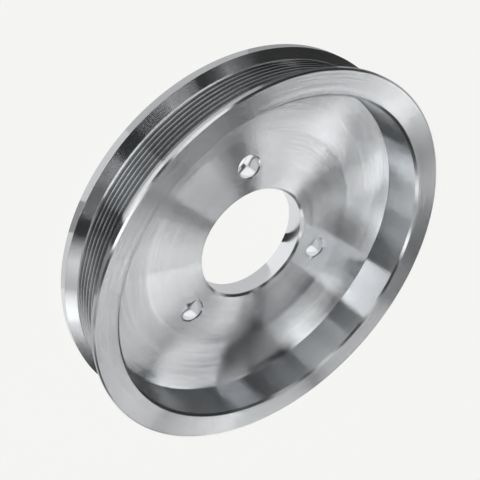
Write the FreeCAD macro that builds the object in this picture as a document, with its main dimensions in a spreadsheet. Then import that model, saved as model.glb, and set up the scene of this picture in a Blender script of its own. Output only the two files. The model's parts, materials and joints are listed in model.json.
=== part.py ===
import FreeCAD, Part
import math
import os
import Sketcher

# A ribbed belt pulley, turned from one aluminium blank.
#
# It lies on its hub face. The axis is Z, the recessed front looks up, and the
# origin is the centre of the hub face. X points at one of the bolt holes.
# Lengths are millimetres and angles are degrees.

SIZES = [
    ("crest_diameter", 168.4, "over the tops of the ribs, where the belt runs"),
    ("flange_height", 3.8, "both rims above the rib tops"),
    ("groove_count", 6, "vee grooves"),
    ("groove_pitch", 2.34, "from one groove to the next"),
    ("groove_depth", 1.9, "rib top to groove bottom"),
    ("groove_angle", 40, "between the two flanks of a groove"),
    ("rib_top_width", 0.34, "flat left on top of a rib"),
    ("rear_rim_width", 4.4, "rear rim, at its outside"),
    ("rear_rim_lean", 2.7, "how far the rear rim's guiding face widens at its foot"),
    ("rear_shoulder", 1.1, "flat between the rear rim and the first groove"),
    ("front_shoulder", 4.01, "flat between the last groove and the front rim"),
    ("front_rim_lean", 2.1, "how far the front rim's guiding face widens at its foot"),
    ("front_rim_width", 1.7, "front rim, at its outside, without its chamfer"),
    ("front_rim_chamfer", 0.7, "outer edge of the front face"),
    ("wall_thickness", 5.5, "from the groove bottoms to the wall of the recess"),
    ("face_dish", 1.75, "how far the front face falls from the rim to the mouth"),
    ("mouth_chamfer", 1.05, "edge between the front face and the wall of the recess"),
    ("corner_fillet", 0.5, "foot of the wall of the recess"),
    ("web_rise", 5.05, "how far the web climbs from its flat middle to the wall"),
    ("web_flat_diameter", 108, "flat middle of the web"),
    ("web_dish_radius", 90, "hollow curve of the web from its flat middle up to the wall"),
    ("hub_thickness", 10.2, "hub face to the flat middle of the web"),
    ("hub_diameter", 116, "raised hub face at the back"),
    ("hub_step", 4.7, "how far the hub face stands out behind the rim"),
    ("bore_diameter", 54, "centre hole"),
    ("bore_chamfer", 1.05, "front edge of the centre hole"),
    ("rear_chamfer", 0.5, "the edges at the back"),
    ("bolt_count", 3, "bolt holes, evenly spaced"),
    ("bolt_circle_diameter", 81.2, "circle through their centres"),
    ("bolt_hole_diameter", 10.4, "clearance holes"),
    ("bolt_hole_chamfer", 0.5, "both edges of a bolt hole"),
]

doc = FreeCAD.newDocument("ribbed_belt_pulley")

sheet = doc.addObject("Spreadsheet::Sheet", "Sizes")
for row, (alias, value, meaning) in enumerate(SIZES, start=1):
    sheet.set(f"A{row}", alias)
    sheet.set(f"B{row}", str(value))
    sheet.set(f"C{row}", meaning)
    sheet.setAlias(f"B{row}", alias)
doc.recompute()

# Radii and heights that follow from the sizes.
CREST_RADIUS = "(Sizes.crest_diameter / 2)"
ROOT_RADIUS = f"({CREST_RADIUS} - Sizes.groove_depth)"
RIM_RADIUS = f"({CREST_RADIUS} + Sizes.flange_height)"
RECESS_RADIUS = f"({ROOT_RADIUS} - Sizes.wall_thickness)"
BORE_RADIUS = "(Sizes.bore_diameter / 2)"
HUB_RADIUS = "(Sizes.hub_diameter / 2)"
BOLT_HOLE_RADIUS = "(Sizes.bolt_hole_diameter / 2)"

GROOVE_MOUTH = "(Sizes.groove_pitch - Sizes.rib_top_width)"
GROOVE_BOTTOM = f"({GROOVE_MOUTH} - 2 * Sizes.groove_depth * tan(Sizes.groove_angle / 2 * 1 deg))"

REAR_RIM_TOP = "(Sizes.hub_step + Sizes.rear_rim_width)"
REAR_RIM_FOOT = f"({REAR_RIM_TOP} + Sizes.rear_rim_lean)"
GROOVES_START = f"({REAR_RIM_FOOT} + Sizes.rear_shoulder)"
FIRST_GROOVE = f"({GROOVES_START} + {GROOVE_MOUTH} / 2)"
GROOVES_SPAN = "((Sizes.groove_count - 1) * Sizes.groove_pitch)"
GROOVES_END = f"({FIRST_GROOVE} + {GROOVES_SPAN} + {GROOVE_MOUTH} / 2)"
FRONT_RIM_FOOT = f"({GROOVES_END} + Sizes.front_shoulder)"
FRONT_RIM_START = f"({FRONT_RIM_FOOT} + Sizes.front_rim_lean)"
FRONT_RIM_END = f"({FRONT_RIM_START} + Sizes.front_rim_width)"
FRONT = f"({FRONT_RIM_END} + Sizes.front_rim_chamfer)"
MOUTH = f"({FRONT} - Sizes.face_dish)"


def number(expression):
    """What an expression comes to with the sizes as they are."""
    value = sheet.evalExpression(expression)
    return float(getattr(value, "Value", value))


def origin_plane(body, role):
    """One of the body's own three planes."""
    return next(feature for feature in body.Origin.OriginFeatures if feature.Role == role)


def sketch_on(body, name, role):
    """An empty sketch on one of the body's planes."""
    sketch = body.newObject("Sketcher::SketchObject", name)
    sketch.AttachmentSupport = [(origin_plane(body, role), "")]
    sketch.MapMode = "FlatFace"
    return sketch


def bind(sketch, kind, geometry, point, name, expression):
    """Hold one coordinate of a point to an expression, measured from the origin."""
    index = sketch.addConstraint(Sketcher.Constraint(kind, -1, 1, geometry, point, number(expression)))
    sketch.renameConstraint(index, name)
    sketch.setExpression(f"Constraints.{name}", expression)


def bind_radius(sketch, geometry, name, expression):
    """Hold the radius of a circle or an arc to an expression."""
    index = sketch.addConstraint(Sketcher.Constraint("Radius", geometry, number(expression)))
    sketch.renameConstraint(index, name)
    sketch.setExpression(f"Constraints.{name}", expression)


def sagging_arc(start, end, radius):
    """An arc that hangs below the straight run from start inwards to end. It is drawn from end to start."""
    half_chord = (end - start).Length / 2
    sag = radius - math.sqrt(radius ** 2 - half_chord ** 2)
    up = FreeCAD.Vector(end.y - start.y, start.x - end.x, 0).normalize()
    return Part.Arc(end, (start + end) / 2 - up * sag, start)


def closed_outline(sketch, corners, sagging=None):
    """Runs from corner to corner and back. Each corner is a name, a radius and a height.

    A run is straight, but one that leaves a corner named in sagging is an arc of the radius given there.
    """
    sagging = sagging or {}
    places = [FreeCAD.Vector(number(radius), number(height), 0) for _, radius, height in corners]
    for (name, _, _), start, end in zip(corners, places, places[1:] + places[:1]):
        if name in sagging:
            sketch.addGeometry(sagging_arc(start, end, number(sagging[name])))
        else:
            sketch.addGeometry(Part.LineSegment(start, end))
    first_point = [2 if name in sagging else 1 for name, _, _ in corners]
    for line, (name, radius, height) in enumerate(corners):
        previous = (line - 1) % len(corners)
        last_point = 3 - first_point[previous]
        sketch.addConstraint(Sketcher.Constraint("Coincident", previous, last_point, line, first_point[line]))
        bind(sketch, "DistanceX", line, first_point[line], name + "_radius", radius)
        if height == "0":
            sketch.addConstraint(Sketcher.Constraint("PointOnObject", line, first_point[line], -1))
        else:
            bind(sketch, "DistanceY", line, first_point[line], name + "_height", height)
        if name in sagging:
            bind_radius(sketch, line, name + "_curve", sagging[name])


def circle_edges(shape, wanted):
    """Names of the full circles of a shape that a test on radius and height picks out."""
    names = []
    for number_of_edge, edge in enumerate(shape.Edges, start=1):
        if isinstance(edge.Curve, Part.Circle) and edge.isClosed():
            if wanted(edge.Curve.Radius, edge.Curve.Center):
                names.append(f"Edge{number_of_edge}")
    return names


def turned_blank(body):
    """Everything that the lathe leaves before the grooves are cut."""
    sketch = sketch_on(body, "blank_outline", "XZ_Plane")
    closed_outline(sketch, [
        ("bore_rear", BORE_RADIUS, "Sizes.rear_chamfer"),
        ("hub_inner", f"{BORE_RADIUS} + Sizes.rear_chamfer", "0"),
        ("hub_outer", f"{HUB_RADIUS} - Sizes.rear_chamfer", "0"),
        ("hub_edge", HUB_RADIUS, "Sizes.rear_chamfer"),
        ("hub_foot", HUB_RADIUS, "Sizes.hub_step"),
        ("rear_face_edge", f"{RIM_RADIUS} - Sizes.rear_chamfer", "Sizes.hub_step"),
        ("rear_rim_edge", RIM_RADIUS, "Sizes.hub_step + Sizes.rear_chamfer"),
        ("rear_rim_top", RIM_RADIUS, REAR_RIM_TOP),
        ("rear_rim_foot", CREST_RADIUS, REAR_RIM_FOOT),
        ("front_rim_foot", CREST_RADIUS, FRONT_RIM_FOOT),
        ("front_rim_start", RIM_RADIUS, FRONT_RIM_START),
        ("front_rim_end", RIM_RADIUS, FRONT_RIM_END),
        ("front_edge", f"{RIM_RADIUS} - Sizes.front_rim_chamfer", FRONT),
        ("mouth_outer", f"{RECESS_RADIUS} + Sizes.mouth_chamfer", MOUTH),
        ("mouth_inner", RECESS_RADIUS, f"{MOUTH} - Sizes.mouth_chamfer"),
        ("recess_corner", RECESS_RADIUS, "Sizes.hub_thickness + Sizes.web_rise"),
        ("web_flat_edge", "Sizes.web_flat_diameter / 2", "Sizes.hub_thickness"),
        ("bore_front_outer", f"{BORE_RADIUS} + Sizes.bore_chamfer", "Sizes.hub_thickness"),
        ("bore_front", BORE_RADIUS, "Sizes.hub_thickness - Sizes.bore_chamfer"),
    ], sagging={"recess_corner": "Sizes.web_dish_radius"})
    doc.recompute()
    blank = body.newObject("PartDesign::Revolution", "blank")
    blank.Profile = sketch
    blank.ReferenceAxis = (sketch, ["V_Axis"])
    blank.Angle = 360
    doc.recompute()


def rounded_corner(body):
    """The small radius that the tool leaves at the foot of the recess wall."""
    blank = body.Tip
    corner_radius = number(RECESS_RADIUS)
    corner_height = number("Sizes.hub_thickness + Sizes.web_rise")
    edges = circle_edges(
        blank.Shape,
        lambda radius, centre: abs(radius - corner_radius) < 1e-6 and abs(centre.z - corner_height) < 1e-6,
    )
    fillet = body.newObject("PartDesign::Fillet", "corner_fillet")
    fillet.Base = (blank, edges)
    fillet.setExpression("Radius", "Sizes.corner_fillet")
    doc.recompute()


def belt_grooves(body):
    """One vee groove, turned all round and repeated along the axis."""
    sketch = sketch_on(body, "groove_outline", "XZ_Plane")
    closed_outline(sketch, [
        ("bottom_rear", ROOT_RADIUS, f"{FIRST_GROOVE} - {GROOVE_BOTTOM} / 2"),
        ("top_rear", CREST_RADIUS, f"{FIRST_GROOVE} - {GROOVE_MOUTH} / 2"),
        ("top_front", CREST_RADIUS, f"{FIRST_GROOVE} + {GROOVE_MOUTH} / 2"),
        ("bottom_front", ROOT_RADIUS, f"{FIRST_GROOVE} + {GROOVE_BOTTOM} / 2"),
    ])
    doc.recompute()
    groove = body.newObject("PartDesign::Groove", "belt_groove")
    groove.Profile = sketch
    groove.ReferenceAxis = (sketch, ["V_Axis"])
    groove.Angle = 360
    doc.recompute()
    row = body.newObject("PartDesign::LinearPattern", "belt_groove_row")
    row.Originals = [groove]
    row.Direction = (origin_plane(body, "Z_Axis"), [""])
    row.setExpression("Length", GROOVES_SPAN)
    row.setExpression("Occurrences", "Sizes.groove_count")
    body.Tip = row
    doc.recompute()


def bolt_holes(body):
    """Clearance holes through the web, with both edges broken."""
    sketch = sketch_on(body, "bolt_hole_circle", "XY_Plane")
    centre = FreeCAD.Vector(number("Sizes.bolt_circle_diameter / 2"), 0, 0)
    sketch.addGeometry(Part.Circle(centre, FreeCAD.Vector(0, 0, 1), number(BOLT_HOLE_RADIUS)))
    sketch.addConstraint(Sketcher.Constraint("PointOnObject", 0, 3, -1))
    bind(sketch, "DistanceX", 0, 3, "centre_radius", "Sizes.bolt_circle_diameter / 2")
    bind_radius(sketch, 0, "hole_radius", BOLT_HOLE_RADIUS)
    doc.recompute()
    hole = body.newObject("PartDesign::Pocket", "bolt_hole")
    hole.Profile = sketch
    hole.Type = "ThroughAll"
    hole.Reversed = True
    doc.recompute()
    ring = body.newObject("PartDesign::PolarPattern", "bolt_hole_ring")
    ring.Originals = [hole]
    ring.Axis = (origin_plane(body, "Z_Axis"), [""])
    ring.Angle = 360
    ring.setExpression("Occurrences", "Sizes.bolt_count")
    body.Tip = ring
    doc.recompute()
    hole_radius = number(BOLT_HOLE_RADIUS)
    edges = circle_edges(ring.Shape, lambda radius, centre: abs(radius - hole_radius) < 1e-6)
    chamfer = body.newObject("PartDesign::Chamfer", "bolt_hole_chamfers")
    chamfer.Base = (ring, edges)
    chamfer.setExpression("Size", "Sizes.bolt_hole_chamfer")
    doc.recompute()


def ribbed_pulley():
    """The whole pulley, one solid."""
    body = doc.addObject("PartDesign::Body", "ribbed_pulley")
    body.Label = "ribbed_pulley"
    turned_blank(body)
    rounded_corner(body)
    volume_before = body.Shape.Volume
    belt_grooves(body)
    volume_grooved = body.Shape.Volume
    bolt_holes(body)
    volume_drilled = body.Shape.Volume
    if not volume_before > volume_grooved > volume_drilled:
        raise RuntimeError("a cut removed nothing")
    return body


pulley = ribbed_pulley()
doc.recompute()

for item in doc.Objects:
    if "Invalid" in item.State or "Error" in item.State:
        raise RuntimeError(f"{item.Label} did not build: {item.State}")
if pulley.Shape.isNull() or not pulley.Shape.isValid() or len(pulley.Shape.Solids) != 1:
    raise RuntimeError("the pulley is not one valid solid")

os.makedirs("parts", exist_ok=True)
pulley.Shape.exportStep(f"parts/{pulley.Label}.step")

bounds = pulley.Shape.BoundBox
print(f"{pulley.Label}: {bounds.XLength:.2f} x {bounds.YLength:.2f} x {bounds.ZLength:.2f} mm,"
      f" {pulley.Shape.Volume / 1000:.1f} cubic centimetres")
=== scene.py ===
import json
import math

import bmesh
import bpy
from mathutils import Matrix, Vector


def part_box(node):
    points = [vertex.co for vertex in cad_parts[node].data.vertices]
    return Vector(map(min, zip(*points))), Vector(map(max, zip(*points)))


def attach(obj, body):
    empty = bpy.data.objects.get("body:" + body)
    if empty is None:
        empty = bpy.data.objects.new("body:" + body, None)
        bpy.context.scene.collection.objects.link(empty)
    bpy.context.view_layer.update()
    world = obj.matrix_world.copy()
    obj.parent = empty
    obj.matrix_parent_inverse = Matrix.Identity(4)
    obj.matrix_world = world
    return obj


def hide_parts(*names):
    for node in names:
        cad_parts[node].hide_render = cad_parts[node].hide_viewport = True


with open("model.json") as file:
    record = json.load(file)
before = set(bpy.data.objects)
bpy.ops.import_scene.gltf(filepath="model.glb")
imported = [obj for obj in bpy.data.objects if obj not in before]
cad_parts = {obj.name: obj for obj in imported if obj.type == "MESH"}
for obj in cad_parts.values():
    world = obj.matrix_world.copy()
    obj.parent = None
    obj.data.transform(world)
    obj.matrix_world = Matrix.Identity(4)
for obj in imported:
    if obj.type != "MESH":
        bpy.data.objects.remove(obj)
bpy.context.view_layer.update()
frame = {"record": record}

# A ribbed belt pulley, turned from bright aluminium, lying on its hub face.
#
# The axis is Z and the recessed front looks up. Sizes of the pulley are in
# millimetres, measured from the axis and from the hub face, and turn into
# metres when they become vertices. Everything else is in metres.

MM = 0.001
NODE = "ribbed_pulley"

MOUNTS = {mount["name"]: mount["dims"] for mount in frame["record"]["mounts"]}
_, NODE_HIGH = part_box(NODE)

RIM_RADIUS = NODE_HIGH.x / MM
FRONT = NODE_HIGH.z / MM
BORE_RADIUS = MOUNTS["pilot_bore"]["r_mm"]
BOLT_CIRCLE_RADIUS = MOUNTS["bolt_holes"]["pcd_mm"] / 2
BOLT_HOLE_RADIUS = MOUNTS["bolt_holes"]["hole_r_mm"]
BOLT_COUNT = MOUNTS["bolt_holes"]["count"]

# How far the rims stand over the ribs, how thick the wall under the grooves is, and the grooves.
RIM_HEIGHT = 3.8
WALL_THICKNESS = 5.5
GROOVE_COUNT = 6
GROOVE_PITCH = 2.34
GROOVE_DEPTH = 1.9
GROOVE_ANGLE = math.radians(40)
RIB_TOP_WIDTH = 0.34
GROOVE_MOUTH = GROOVE_PITCH - RIB_TOP_WIDTH
GROOVE_BOTTOM = GROOVE_MOUTH - 2 * GROOVE_DEPTH * math.tan(GROOVE_ANGLE / 2)

CREST_RADIUS = RIM_RADIUS - RIM_HEIGHT
ROOT_RADIUS = CREST_RADIUS - GROOVE_DEPTH
RECESS_RADIUS = ROOT_RADIUS - WALL_THICKNESS

# The hub, whose face stands back of the rear rim by the step, and the broken edges of the holes.
HUB_RADIUS = 58.0
HUB_STEP = 4.7
HUB_THICKNESS = 10.2
REAR_CHAMFER = 0.5
BORE_CHAMFER = 1.05
BOLT_HOLE_CHAMFER = 0.5

# The rims: how wide each is outside, and how much wider its leaning face makes it at the foot.
REAR_RIM_WIDTH = 4.4
REAR_RIM_LEAN = 2.7
REAR_SHOULDER = 1.1
FRONT_RIM_WIDTH = 1.7
FRONT_RIM_LEAN = 2.1
FRONT_RIM_CHAMFER = 0.7

REAR_RIM_TOP = HUB_STEP + REAR_RIM_WIDTH
REAR_RIM_FOOT = REAR_RIM_TOP + REAR_RIM_LEAN
GROOVES_START = REAR_RIM_FOOT + REAR_SHOULDER
FRONT_RIM_END = FRONT - FRONT_RIM_CHAMFER
FRONT_RIM_START = FRONT_RIM_END - FRONT_RIM_WIDTH
FRONT_RIM_FOOT = FRONT_RIM_START - FRONT_RIM_LEAN

# The front face falls from the rim to the mouth of the recess.
FACE_DISH = 1.75
MOUTH = FRONT - FACE_DISH
MOUTH_CHAMFER = 1.05
WEB_RISE = 5.05
WEB_FLAT_RADIUS = 54.0
WEB_DISH_RADIUS = 90.0

# How finely round things are divided, and the radii that edges and corners are rounded to.
SEGMENTS = 432
HOLE_SEGMENTS = 72
ARC_STEP = math.radians(24)
ARC_LENGTH = 1.6
SOFT_EDGE = 0.12
RIB_EDGE = 0.08
GROOVE_FOOT = 0.12
CORNER_FILLET = 0.5
WEB_BEND = 2.0

# By how much the hollow curve of the web is rounded tighter, which leaves room for the bends at its ends.
WEB_DISH_MARGIN = 6.0

# The stage. The glow is how much of the background's colour the floor shows in place of its own.
FLOOR_HALF = 3.0
FLOOR_COLOUR = (0.85, 0.85, 0.84, 1)
FLOOR_ROUGHNESS = 0.9
BACKGROUND = (0.95, 0.95, 0.93, 1)
FLOOR_GLOW = 0.93
WORLD_GREY = 0.03
LAMP_DISTANCE = 1.3

# How many degrees one piece of a card's edge spans, and how far the cards lie above the floor.
CARD_STEP = 6
CARD_HEIGHT = 0.0003
HOLE_CARD_HEIGHT = 0.0006

# What the outside of the rims reflects: fans of card on the floor. Each has a name, its start and end round
# the axis in degrees, and a grey for each ring. The rings lie where the rear rim, the ribs and the front rim
# look, and their edges are metres from the axis.
CARD_RINGS = (0.0885, 0.1, 0.115, 0.6)
CARDS = [
    ("card_top", 84, 114, (0.35, 0.04, 0.25)),
    ("card_upper", 114, 153, (0.5, 0.05, 1.1)),
    ("card_bright", 153, 174, (0.65, 0.3, 1.3)),
    ("card_dark", 174, 183, (0.3, 0.02, 0.06)),
    ("card_middle", 183, 200, (0.65, 0.08, 0.5)),
    ("card_lower", 200, 232, (0.8, 0.4, 0.6)),
    ("card_bottom", 232, 270, (0.72, 0.6, 0.78)),
    ("card_behind", 270, 444, (0.3, 0.3, 0.3)),
]

# The same under the bore and, in a second ring, under the web round it.
BORE_CARD_RINGS = (0.002, 0.03, 0.06)
BORE_CARDS = [
    ("bore_card_lower", 180, 327, (0.6, 0.5)),
    ("bore_card_bright", 327, 354, (0.9, 0.5)),
    ("bore_card_dark", 354, 364, (0.03, 0.5)),
    ("bore_card_upper", 364, 540, (0.8, 0.5)),
]

# The same under each bolt hole, round the hole's own centre and over the others.
HOLE_CARD_RINGS = (0.00005, 0.005)
HOLE_CARDS = [
    ("hole_card_bright", 340, 514, (1.0,)),
    ("hole_card_dark", 322, 340, (0.1,)),
    ("hole_card_grey", 154, 322, (0.6,)),
]

# Each softbox: its name, its azimuth and elevation in degrees, its width and height in degrees as seen from
# the pulley, and how bright it looks, where 1 is white.
SOFTBOXES = [
    ("top", 40, 85, 15, 15, 0.9),
    ("top_upper", 105, 75, 15, 15, 1.8),
    ("top_far", 345, 70, 15, 15, 1.2),
    ("high_back", 115, 60, 10, 15, 0.5),
    ("high_near", 180, 65, 10, 15, 0.8),
    ("high_left", 270, 65, 15, 20, 1.4),
    ("beam", 0, 45, 10, 20, 2.2),
    ("upper", 80, 50, 15, 15, 0.5),
    ("upper_far", 35, 55, 10, 15, 1.2),
    ("back", 130, 35, 30, 10, 1.4),
    ("near", 180, 25, 30, 20, 2.8),
    ("side", 235, 35, 30, 25, 0.5),
    ("side_high", 235, 50, 10, 15, 1.4),
    ("left", 280, 45, 25, 20, 1.2),
    ("low_left", 255, 25, 35, 10, 1.1),
    ("far", 320, 40, 10, 30, 1.4),
    ("far_low", 335, 35, 10, 10, 0.8),
    ("far_high", 320, 55, 15, 15, 0.4),
]

# The metal. One furrow is hair-fine, and the marks that lie over the furrows are wider.
METAL_COLOUR = (0.845, 0.862, 0.88, 1)
# The groove colour is the metal darkened to half: painted shade inside the grooves, where the ribs keep the
# light out.
GROOVE_SHADE_COLOUR = (0.42, 0.43, 0.44, 1)
MARK_SPACING = 0.0003
FURROW = 0.000004
QUARTER_TURN = 0.25

# Each finish: its name, its colour, how far it is anisotropic, its roughness, the slope to which its furrows
# lean the surface, and the depth of its marks in metres.
FINISHES = [
    ("faced_metal", METAL_COLOUR, 1.0, 0.15, 0.28, 0.00001),
    ("turned_metal", METAL_COLOUR, 1.0, 0.14, 0.04, 0.000004),
    # The groove finish carries painted shade: its colour is darker than the metal's.
    ("grooved_metal", GROOVE_SHADE_COLOUR, 1.0, 0.14, 0.04, 0.000004),
    ("polished_metal", METAL_COLOUR, 0.6, 0.2, 0.0, 0.000004),
    ("drilled_metal", METAL_COLOUR, 0.0, 0.16, 0.0, 0.00001),
]
FACED, TURNED, SHADED_GROOVE, POLISHED, DRILLED = range(len(FINISHES))

# The camera of the photograph: a 50 mm lens on a 36 mm frame, where it stands, and which ways its right and
# its down point.
LENS = 50.0
SENSOR = 36.0
CAMERA_PLACE = Vector((-0.20306, 0.09949, 0.20430))
CAMERA_RIGHT = Vector((0.74514, 0.35598, 0.56390))
CAMERA_DOWN = Vector((0.04790, -0.87196, 0.48720))


def web_knee():
    """The corner that the hollow curve of the web rounds off: where the tangents at its two ends meet."""
    start = Vector((WEB_FLAT_RADIUS, HUB_THICKNESS))
    chord = Vector((RECESS_RADIUS, HUB_THICKNESS + WEB_RISE)) - start
    half_turn = math.asin(chord.length / 2 / WEB_DISH_RADIUS)
    up = Vector((-chord.y, chord.x)).normalized()
    knee = start + chord / 2 - up * chord.length / 2 * math.tan(half_turn)
    return knee.x, knee.y, WEB_DISH_RADIUS - WEB_DISH_MARGIN, FACED


def section():
    """The turned section, once round: each corner's radius, height and edge radius, and its finish.

    A corner's finish is that of its rounded edge and of the face that follows it. The section starts at
    the back of the bore and runs out over the hub face, round the rims and the grooves, over the front
    face and down the recess to the web, which climbs from its flat middle to the wall in a hollow
    curve. The bolt holes lie in the two flat faces, on the hub and inside the curve.
    """
    corners = [
        (BORE_RADIUS, REAR_CHAMFER, SOFT_EDGE, POLISHED),
        (BORE_RADIUS + REAR_CHAMFER, 0, SOFT_EDGE, FACED),
        (HUB_RADIUS - REAR_CHAMFER, 0, SOFT_EDGE, POLISHED),
        (HUB_RADIUS, REAR_CHAMFER, SOFT_EDGE, FACED),
        (HUB_RADIUS, HUB_STEP, CORNER_FILLET, FACED),
        (RIM_RADIUS - REAR_CHAMFER, HUB_STEP, SOFT_EDGE, POLISHED),
        (RIM_RADIUS, HUB_STEP + REAR_CHAMFER, SOFT_EDGE, POLISHED),
        (RIM_RADIUS, REAR_RIM_TOP, SOFT_EDGE, TURNED),
        (CREST_RADIUS, REAR_RIM_FOOT, SOFT_EDGE, TURNED),
    ]
    for groove in range(GROOVE_COUNT):
        centre = GROOVES_START + GROOVE_MOUTH / 2 + groove * GROOVE_PITCH
        corners += [
            # The flanks and the bottom of each groove take the finish with painted shade.
            (CREST_RADIUS, centre - GROOVE_MOUTH / 2, RIB_EDGE, SHADED_GROOVE),
            (ROOT_RADIUS, centre - GROOVE_BOTTOM / 2, GROOVE_FOOT, SHADED_GROOVE),
            (ROOT_RADIUS, centre + GROOVE_BOTTOM / 2, GROOVE_FOOT, SHADED_GROOVE),
            (CREST_RADIUS, centre + GROOVE_MOUTH / 2, RIB_EDGE, TURNED),
        ]
    corners += [
        (CREST_RADIUS, FRONT_RIM_FOOT, SOFT_EDGE, TURNED),
        (RIM_RADIUS, FRONT_RIM_START, SOFT_EDGE, POLISHED),
        (RIM_RADIUS, FRONT_RIM_END, SOFT_EDGE, POLISHED),
        (RIM_RADIUS - FRONT_RIM_CHAMFER, FRONT, SOFT_EDGE, FACED),
        (RECESS_RADIUS + MOUTH_CHAMFER, MOUTH, SOFT_EDGE, POLISHED),
        (RECESS_RADIUS, MOUTH - MOUTH_CHAMFER, SOFT_EDGE, FACED),
        (RECESS_RADIUS, HUB_THICKNESS + WEB_RISE, CORNER_FILLET, FACED),
        web_knee(),
        (WEB_FLAT_RADIUS, HUB_THICKNESS, WEB_BEND, FACED),
        (BORE_RADIUS + BORE_CHAMFER, HUB_THICKNESS, SOFT_EDGE, POLISHED),
        (BORE_RADIUS, HUB_THICKNESS - BORE_CHAMFER, SOFT_EDGE, POLISHED),
    ]
    return corners


def rounded(corners):
    """The same outline with every corner rounded, as runs of (place, outward normal, finish) per corner."""
    places = [Vector((radius, height)) for radius, height, _, _ in corners]
    arcs = []
    for index, (place, (_, _, edge, finish)) in enumerate(zip(places, corners)):
        before = (place - places[index - 1]).normalized()
        after = (places[(index + 1) % len(places)] - place).normalized()
        turn = math.atan2(before.cross(after), before.dot(after))
        reach = edge * math.tan(abs(turn) / 2)
        steps = max(1, math.ceil(abs(turn) / ARC_STEP), math.ceil(abs(turn) * edge / ARC_LENGTH))
        side = math.copysign(1, turn)
        centre = place - before * reach + side * edge * Vector((-before.y, before.x))
        points = []
        for step in range(steps + 1):
            angle = turn * step / steps
            outward = Matrix.Rotation(angle, 2) @ Vector((before.y, -before.x))
            points.append((centre + side * edge * outward, outward, finish))
        arcs.append(points)
    return arcs


class Skin:
    """Gathers the vertices of a smooth closed skin with the exact normal at each of them."""

    def __init__(self):
        self.mesh = bmesh.new()
        self.normals = []

    def ring(self, centre, radius, height, outward, count):
        """One circle of vertices. The normal leans out by outward.x and up by outward.y."""
        made = []
        for number in range(count):
            turn = math.tau * number / count
            away = Vector((math.cos(turn), math.sin(turn), 0))
            place = centre + away * radius + Vector((0, 0, height))
            made.append(self.mesh.verts.new(place * MM))
            self.normals.append(away * outward.x + Vector((0, 0, outward.y)))
        return made

    def revolve(self, points, centre, count):
        """Turns a run of (place, normal, finish) points about a line. Gives the first and last rings."""
        rings = [self.ring(centre, place.x, place.y, outward, count) for place, outward, _ in points]
        for lower, upper, (_, _, finish) in zip(rings, rings[1:], points):
            for number in range(count):
                following = (number + 1) % count
                face = self.mesh.faces.new(
                    (lower[number], lower[following], upper[following], upper[number])
                )
                face.material_index = finish
        return rings[0], rings[-1]

    def flat(self, rings, finish):
        """A flat face bounded by one outer ring and the rings inside it."""
        edges = []
        for ring in rings:
            edges += [
                self.mesh.edges.get(pair) or self.mesh.edges.new(pair)
                for pair in zip(ring, ring[1:] + ring[:1])
            ]
        filled = bmesh.ops.triangle_fill(self.mesh, edges=edges, use_beauty=True, use_dissolve=False)
        for face in filled["geom"]:
            if isinstance(face, bmesh.types.BMFace):
                face.material_index = finish

    def finish(self, name):
        """The object, with its faces turned outward and its normals set."""
        bmesh.ops.recalc_face_normals(self.mesh, faces=self.mesh.faces)
        data = bpy.data.meshes.new(name)
        self.mesh.to_mesh(data)
        self.mesh.free()
        for polygon in data.polygons:
            polygon.use_smooth = True
        data.normals_split_custom_set_from_vertices([normal.normalized() for normal in self.normals])
        made = bpy.data.objects.new(name, data)
        bpy.context.scene.collection.objects.link(made)
        return made


def bolt_centres():
    """Where the bolt holes' axes cross the hub face, in millimetres."""
    turns = [math.tau * number / BOLT_COUNT for number in range(BOLT_COUNT)]
    return [BOLT_CIRCLE_RADIUS * Vector((math.cos(turn), math.sin(turn), 0)) for turn in turns]


def pulley():
    """The turned body with its bolt holes, in one closed skin."""
    skin = Skin()
    axis = Vector((0, 0, 0))
    corners = section()
    arcs = rounded(corners)
    web_bend = next(i for i, (radius, _, _, _) in enumerate(corners) if radius == WEB_FLAT_RADIUS)
    outside = [point for arc in arcs[2:web_bend + 1] for point in arc]
    inside = [point for arc in arcs[web_bend + 1:] + arcs[:2] for point in arc]
    hub_outer, web_outer = skin.revolve(outside, axis, SEGMENTS)
    web_inner, hub_inner = skin.revolve(inside, axis, SEGMENTS)

    mouth = BOLT_HOLE_RADIUS + BOLT_HOLE_CHAMFER
    beyond = mouth + BOLT_HOLE_RADIUS
    wall = [
        (beyond, HUB_THICKNESS, 0, FACED),
        (mouth, HUB_THICKNESS, SOFT_EDGE, DRILLED),
        (BOLT_HOLE_RADIUS, HUB_THICKNESS - BOLT_HOLE_CHAMFER, SOFT_EDGE, DRILLED),
        (BOLT_HOLE_RADIUS, BOLT_HOLE_CHAMFER, SOFT_EDGE, DRILLED),
        (mouth, 0, SOFT_EDGE, DRILLED),
        (beyond, 0, 0, FACED),
    ]
    hole = [point for arc in rounded(wall)[1:-1] for point in arc]
    tops, bottoms = [], []
    for centre in bolt_centres():
        top, bottom = skin.revolve(hole, centre, HOLE_SEGMENTS)
        tops.append(top)
        bottoms.append(bottom)
    skin.flat([web_outer, web_inner] + tops, FACED)
    skin.flat([hub_outer, hub_inner] + bottoms, FACED)
    return skin.finish("pulley")


def section_place(nodes, links):
    """The radius and the height of the shaded point, in metres, as a vector."""
    place = nodes.new("ShaderNodeTexCoord")
    parts = nodes.new("ShaderNodeSeparateXYZ")
    links.new(place.outputs["Object"], parts.inputs["Vector"])
    level = nodes.new("ShaderNodeCombineXYZ")
    links.new(parts.outputs["X"], level.inputs["X"])
    links.new(parts.outputs["Y"], level.inputs["Y"])
    radius = nodes.new("ShaderNodeVectorMath")
    radius.operation = "LENGTH"
    links.new(level.outputs["Vector"], radius.inputs[0])
    made = nodes.new("ShaderNodeCombineXYZ")
    links.new(radius.outputs["Value"], made.inputs["X"])
    links.new(parts.outputs["Z"], made.inputs["Y"])
    return made.outputs["Vector"]


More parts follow.
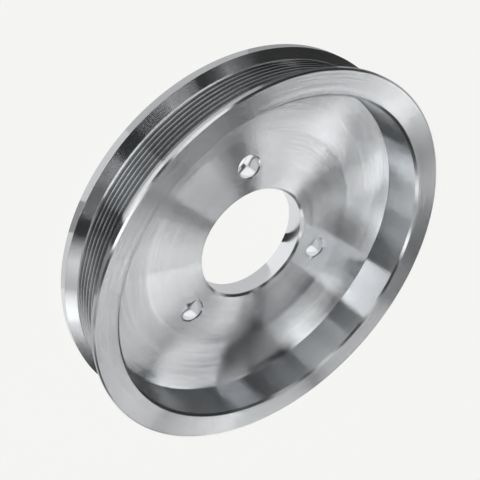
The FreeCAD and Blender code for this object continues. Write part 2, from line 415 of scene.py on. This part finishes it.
def worked(nodes, links, operation, *inputs):
    """The outcome of a vector math node. Each input is a vector or the output of another node."""
    node = nodes.new("ShaderNodeVectorMath")
    node.operation = operation
    for socket, given in zip(node.inputs, inputs):
        if isinstance(given, bpy.types.NodeSocket):
            links.new(given, socket)
        else:
            socket.default_value = given
    return node.outputs["Vector"]


def furrowed(nodes, links, place, tangent, lean):
    """The normal, leaning across the direction of turning by chance, anew in each hair-fine furrow."""
    furrow = worked(nodes, links, "DIVIDE", place, (FURROW, FURROW, FURROW))
    furrow = worked(nodes, links, "FLOOR", furrow)
    chance = nodes.new("ShaderNodeTexWhiteNoise")
    chance.noise_dimensions = "2D"
    links.new(furrow, chance.inputs["Vector"])
    leaning = nodes.new("ShaderNodeMath")
    leaning.operation = "MULTIPLY_ADD"
    leaning.inputs[1].default_value = 2 * lean
    leaning.inputs[2].default_value = -lean
    links.new(chance.outputs["Value"], leaning.inputs[0])
    normal = nodes.new("ShaderNodeNewGeometry").outputs["Normal"]
    across = worked(nodes, links, "CROSS_PRODUCT", normal, tangent)
    leant = worked(nodes, links, "MULTIPLY_ADD", across, leaning.outputs["Value"], normal)
    return worked(nodes, links, "NORMALIZE", leant)


def metal(name, colour, anisotropy, roughness, lean, mark_depth):
    """Bare machined aluminium: hair-fine furrows all round it and, over them, faint marks."""
    made = bpy.data.materials.new(name)
    made.use_nodes = True
    nodes, links = made.node_tree.nodes, made.node_tree.links
    shader = nodes["Principled BSDF"]
    shader.inputs["Base Color"].default_value = colour
    shader.inputs["Metallic"].default_value = 1
    shader.inputs["Roughness"].default_value = roughness
    shader.inputs["Anisotropic"].default_value = anisotropy
    shader.inputs["Anisotropic Rotation"].default_value = QUARTER_TURN
    tangent = nodes.new("ShaderNodeTangent")
    tangent.direction_type = "RADIAL"
    tangent.axis = "Z"
    links.new(tangent.outputs["Tangent"], shader.inputs["Tangent"])
    place = section_place(nodes, links)
    marks = nodes.new("ShaderNodeTexNoise")
    marks.inputs["Scale"].default_value = 1 / MARK_SPACING
    marks.inputs["Detail"].default_value = 1
    links.new(place, marks.inputs["Vector"])
    relief = nodes.new("ShaderNodeBump")
    relief.inputs["Distance"].default_value = mark_depth
    links.new(marks.outputs["Fac"], relief.inputs["Height"])
    links.new(furrowed(nodes, links, place, tangent.outputs["Tangent"], lean), relief.inputs["Normal"])
    links.new(relief.outputs["Normal"], shader.inputs["Normal"])
    return made


def camera():
    """The photograph's camera."""
    data = bpy.data.cameras.new("camera")
    data.sensor_width = SENSOR
    data.lens = LENS
    made = bpy.data.objects.new("camera", data)
    up = -CAMERA_DOWN
    back = CAMERA_RIGHT.cross(up)
    turned = Matrix((CAMERA_RIGHT, up, back)).transposed().to_4x4()
    made.matrix_world = Matrix.Translation(CAMERA_PLACE) @ turned
    bpy.context.scene.collection.objects.link(made)
    bpy.context.scene.camera = made


def staged(name, mesh, material):
    """Puts a mesh with its material into the scene, for the stage, which is no part of the object."""
    data = bpy.data.meshes.new(name)
    mesh.to_mesh(data)
    mesh.free()
    data.materials.append(material)
    made = bpy.data.objects.new(name, data)
    bpy.context.scene.collection.objects.link(made)
    return made


def floor():
    """A pale floor, which glows for the camera, in reflections and through glass, and is matt otherwise."""
    mesh = bmesh.new()
    mesh.faces.new([
        mesh.verts.new((x * FLOOR_HALF, y * FLOOR_HALF, 0)) for x, y in ((-1, -1), (1, -1), (1, 1), (-1, 1))
    ])
    surface = bpy.data.materials.new("floor")
    surface.use_nodes = True
    nodes, links = surface.node_tree.nodes, surface.node_tree.links
    matt = nodes["Principled BSDF"]
    matt.inputs["Base Color"].default_value = FLOOR_COLOUR
    matt.inputs["Roughness"].default_value = FLOOR_ROUGHNESS
    matt.inputs["Specular IOR Level"].default_value = 0
    glow = nodes.new("ShaderNodeEmission")
    glow.inputs["Color"].default_value = BACKGROUND
    path = nodes.new("ShaderNodeLightPath")
    seen = path.outputs["Is Camera Ray"]
    for ray in ("Is Glossy Ray", "Is Transmission Ray"):
        either = nodes.new("ShaderNodeMath")
        either.operation = "ADD"
        either.use_clamp = True
        links.new(seen, either.inputs[0])
        links.new(path.outputs[ray], either.inputs[1])
        seen = either.outputs["Value"]
    share = nodes.new("ShaderNodeMath")
    share.operation = "MULTIPLY"
    share.inputs[1].default_value = FLOOR_GLOW
    links.new(seen, share.inputs[0])
    blend = nodes.new("ShaderNodeMixShader")
    links.new(share.outputs["Value"], blend.inputs["Fac"])
    links.new(matt.outputs["BSDF"], blend.inputs[1])
    links.new(glow.outputs["Emission"], blend.inputs[2])
    links.new(blend.outputs["Shader"], nodes["Material Output"].inputs["Surface"])
    staged("floor", mesh, surface)


def card(name, centre, start, end, rings, grey):
    """A card that lies flat, a fan from start to end degrees round its centre. Only reflections show it."""
    mesh = bmesh.new()
    pieces = max(2, round((end - start) / CARD_STEP))
    turns = [math.radians(start + (end - start) * step / pieces) for step in range(pieces + 1)]
    rows = []
    for reach in rings:
        places = [centre + reach * Vector((math.cos(turn), math.sin(turn), 0)) for turn in turns]
        rows.append([mesh.verts.new(place) for place in places])
    for step in range(pieces):
        mesh.faces.new((rows[0][step], rows[1][step], rows[1][step + 1], rows[0][step + 1]))
    surface = bpy.data.materials.new(name)
    surface.use_nodes = True
    shader = surface.node_tree.nodes["Principled BSDF"]
    shader.inputs["Base Color"].default_value = (0, 0, 0, 1)
    shader.inputs["Specular IOR Level"].default_value = 0
    shader.inputs["Emission Color"].default_value = (grey, grey, grey, 1)
    shader.inputs["Emission Strength"].default_value = 1
    made = staged(name, mesh, surface)
    made.visible_camera = False
    made.visible_diffuse = False
    made.visible_transmission = False
    made.visible_shadow = False


def cards(centre, fans, rings):
    """Fans of card round a centre, each divided into rings."""
    for name, start, end, greys in fans:
        for number, grey in enumerate(greys):
            card(f"{name}_{number + 1}", centre, start, end, rings[number:number + 2], grey)


def softbox(name, azimuth, elevation, wide, tall, strength):
    """A softbox that faces the pulley. Its azimuth runs from +X towards +Y."""
    data = bpy.data.lights.new(name, "AREA")
    data.shape = "RECTANGLE"
    data.size = 2 * LAMP_DISTANCE * math.tan(math.radians(wide / 2))
    data.size_y = 2 * LAMP_DISTANCE * math.tan(math.radians(tall / 2))
    data.energy = strength * math.pi * data.size * data.size_y
    made = bpy.data.objects.new(name, data)
    turn, rise = math.radians(azimuth), math.radians(elevation)
    towards = Vector((math.cos(turn) * math.cos(rise), math.sin(turn) * math.cos(rise), math.sin(rise)))
    made.location = towards * LAMP_DISTANCE
    made.rotation_mode = "QUATERNION"
    made.rotation_quaternion = towards.to_track_quat("Z", "Y")
    made.visible_camera = False
    bpy.context.scene.collection.objects.link(made)


def surroundings():
    """A world that is nearly black, and as pale as the floor where the camera looks past the floor."""
    made = bpy.data.worlds.new("world")
    made.use_nodes = True
    nodes, links = made.node_tree.nodes, made.node_tree.links
    dark = nodes["Background"]
    dark.inputs["Color"].default_value = (WORLD_GREY, WORLD_GREY, WORLD_GREY, 1)
    pale = nodes.new("ShaderNodeBackground")
    pale.inputs["Color"].default_value = BACKGROUND
    pale.inputs["Strength"].default_value = FLOOR_GLOW
    path = nodes.new("ShaderNodeLightPath")
    blend = nodes.new("ShaderNodeMixShader")
    links.new(path.outputs["Is Camera Ray"], blend.inputs["Fac"])
    links.new(dark.outputs["Background"], blend.inputs[1])
    links.new(pale.outputs["Background"], blend.inputs[2])
    links.new(blend.outputs["Shader"], nodes["World Output"].inputs["Surface"])
    bpy.context.scene.world = made


body = pulley()
for finish in FINISHES:
    body.data.materials.append(metal(*finish))
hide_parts(NODE)
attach(body, "root")

camera()
floor()
middle = Vector((0, 0, CARD_HEIGHT))
cards(middle, CARDS, CARD_RINGS)
cards(middle, BORE_CARDS, BORE_CARD_RINGS)
for centre in bolt_centres():
    cards(centre * MM + Vector((0, 0, HOLE_CARD_HEIGHT)), HOLE_CARDS, HOLE_CARD_RINGS)
for box in SOFTBOXES:
    softbox(*box)
surroundings()
bpy.context.scene.view_settings.view_transform = "Standard"
